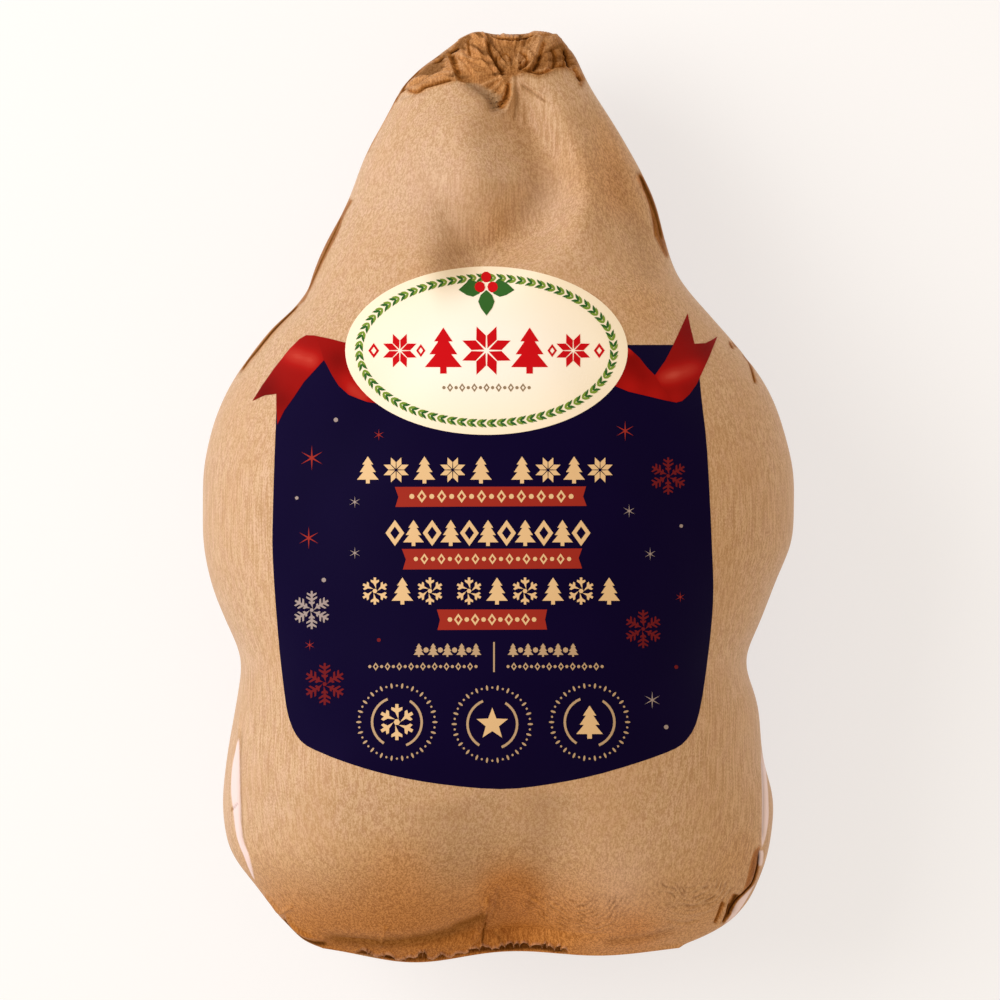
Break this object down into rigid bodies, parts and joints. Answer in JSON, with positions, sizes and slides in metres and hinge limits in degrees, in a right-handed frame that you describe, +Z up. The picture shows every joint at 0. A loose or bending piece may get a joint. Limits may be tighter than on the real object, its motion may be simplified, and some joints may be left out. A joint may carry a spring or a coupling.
{
  "type": "wrapped whole turkey",
  "caption": "Whole frozen turkey in a shut shrink bag, lying on its back, with gathered film at the legs and a crimped seam at the neck end.",
  "frame": {"origin": "centre of the bounding box in plan, on the ground that the bird's back rests on", "axes": "+Z up out of the printed breast side, +Y from the crimped seam at the neck end towards the gathered film at the legs, +X to the right as the print is seen upright"},
  "size_m": [0.2129, 0.3361, 0.146],
  "materials": {
    "printed_film": "tan printed shrink film, satin, with fine lengthwise grain, tight over the frozen bird, with clear strips at the sides that show pale pink skin",
    "navy_ink": "dark navy printed panel",
    "red_ink": "red printed ribbon, banners and small ornaments",
    "cream_ink": "cream printed plate and ornaments",
    "green_ink": "green printed leaves and lines"
  },
  "bodies": {
    "root": {"wrapped_turkey": "printed_film"}
  },
  "joints": []
}
